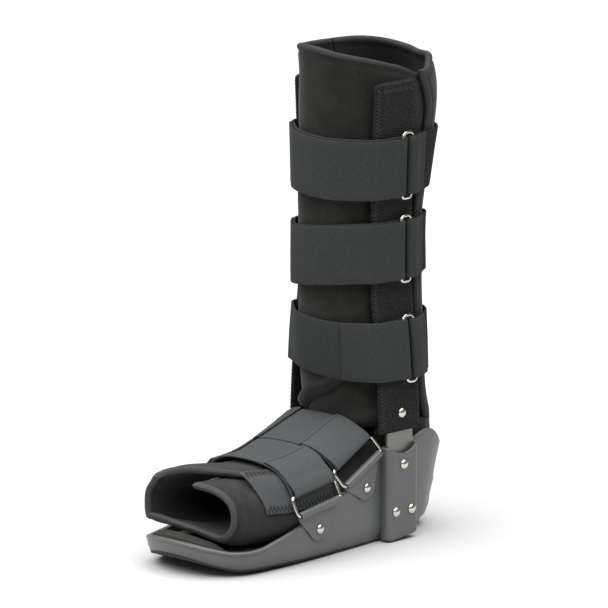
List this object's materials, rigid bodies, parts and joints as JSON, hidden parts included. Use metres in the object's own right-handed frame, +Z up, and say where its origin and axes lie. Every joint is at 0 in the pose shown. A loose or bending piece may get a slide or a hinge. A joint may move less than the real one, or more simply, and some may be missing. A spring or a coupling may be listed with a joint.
{
  "type": "medical walking boot",
  "caption": "Tall open-toe walking boot: rocker-soled shell, side uprights, padded wrap liner, leg and foot straps folded over wire rings.",
  "frame": {"origin": "on the ground, midway between the two uprights, under the ankle", "axes": "+Z up, -Y towards the toes, +X towards the side on which the leg straps fold back"},
  "size_m": [0.1308, 0.304, 0.4232],
  "materials": {
    "sole_rubber": "matt",
    "grey_plastic": "satin moulded",
    "insole_foam": "foam with a cloth face",
    "liner_fleece": "brushed loop fleece over foam",
    "loop_pile": "loop pile",
    "webbing": "fine matt loop webbing",
    "upright_aluminium": "satin",
    "nickel": "polished nickel plate"
  },
  "bodies": {
    "root": {"outsole": "sole_rubber", "base_shell": "grey_plastic", "insole": "insole_foam", "foot_wrap": "liner_fleece", "leg_front_panel": "liner_fleece", "leg_back_panel": "liner_fleece", "bracket_near": "grey_plastic", "bracket_far": "grey_plastic", "strut_near": "upright_aluminium", "strut_far": "upright_aluminium", "strut_cover_near": "loop_pile", "strut_cover_far": "loop_pile", "bracket_rivet_near_1": "nickel", "bracket_rivet_near_2": "nickel", "bracket_rivet_near_3": "nickel", "bracket_rivet_far_1": "nickel", "bracket_rivet_far_2": "nickel", "bracket_rivet_far_3": "nickel", "cover_rivet_near": "nickel", "cover_rivet_far": "nickel", "foot_tab_front_near": "grey_plastic", "foot_tab_front_far": "grey_plastic", "foot_tab_rear_near": "grey_plastic", "foot_tab_rear_far": "grey_plastic", "tab_rivet_front_near": "nickel", "tab_rivet_front_far": "nickel", "tab_rivet_rear_near": "nickel", "tab_rivet_rear_far": "nickel", "foot_ring_front_near": "nickel", "foot_ring_front_far": "nickel", "foot_ring_rear_near": "nickel", "foot_ring_rear_far": "nickel", "foot_strap_front": "webbing", "foot_strap_rear": "webbing", "leg_strap_top": "webbing", "leg_strap_middle": "webbing", "leg_strap_lower": "webbing", "leg_ring_top": "nickel", "leg_ring_middle": "nickel", "leg_ring_lower": "nickel", "toe_patch": "webbing"}
  },
  "joints": []
}
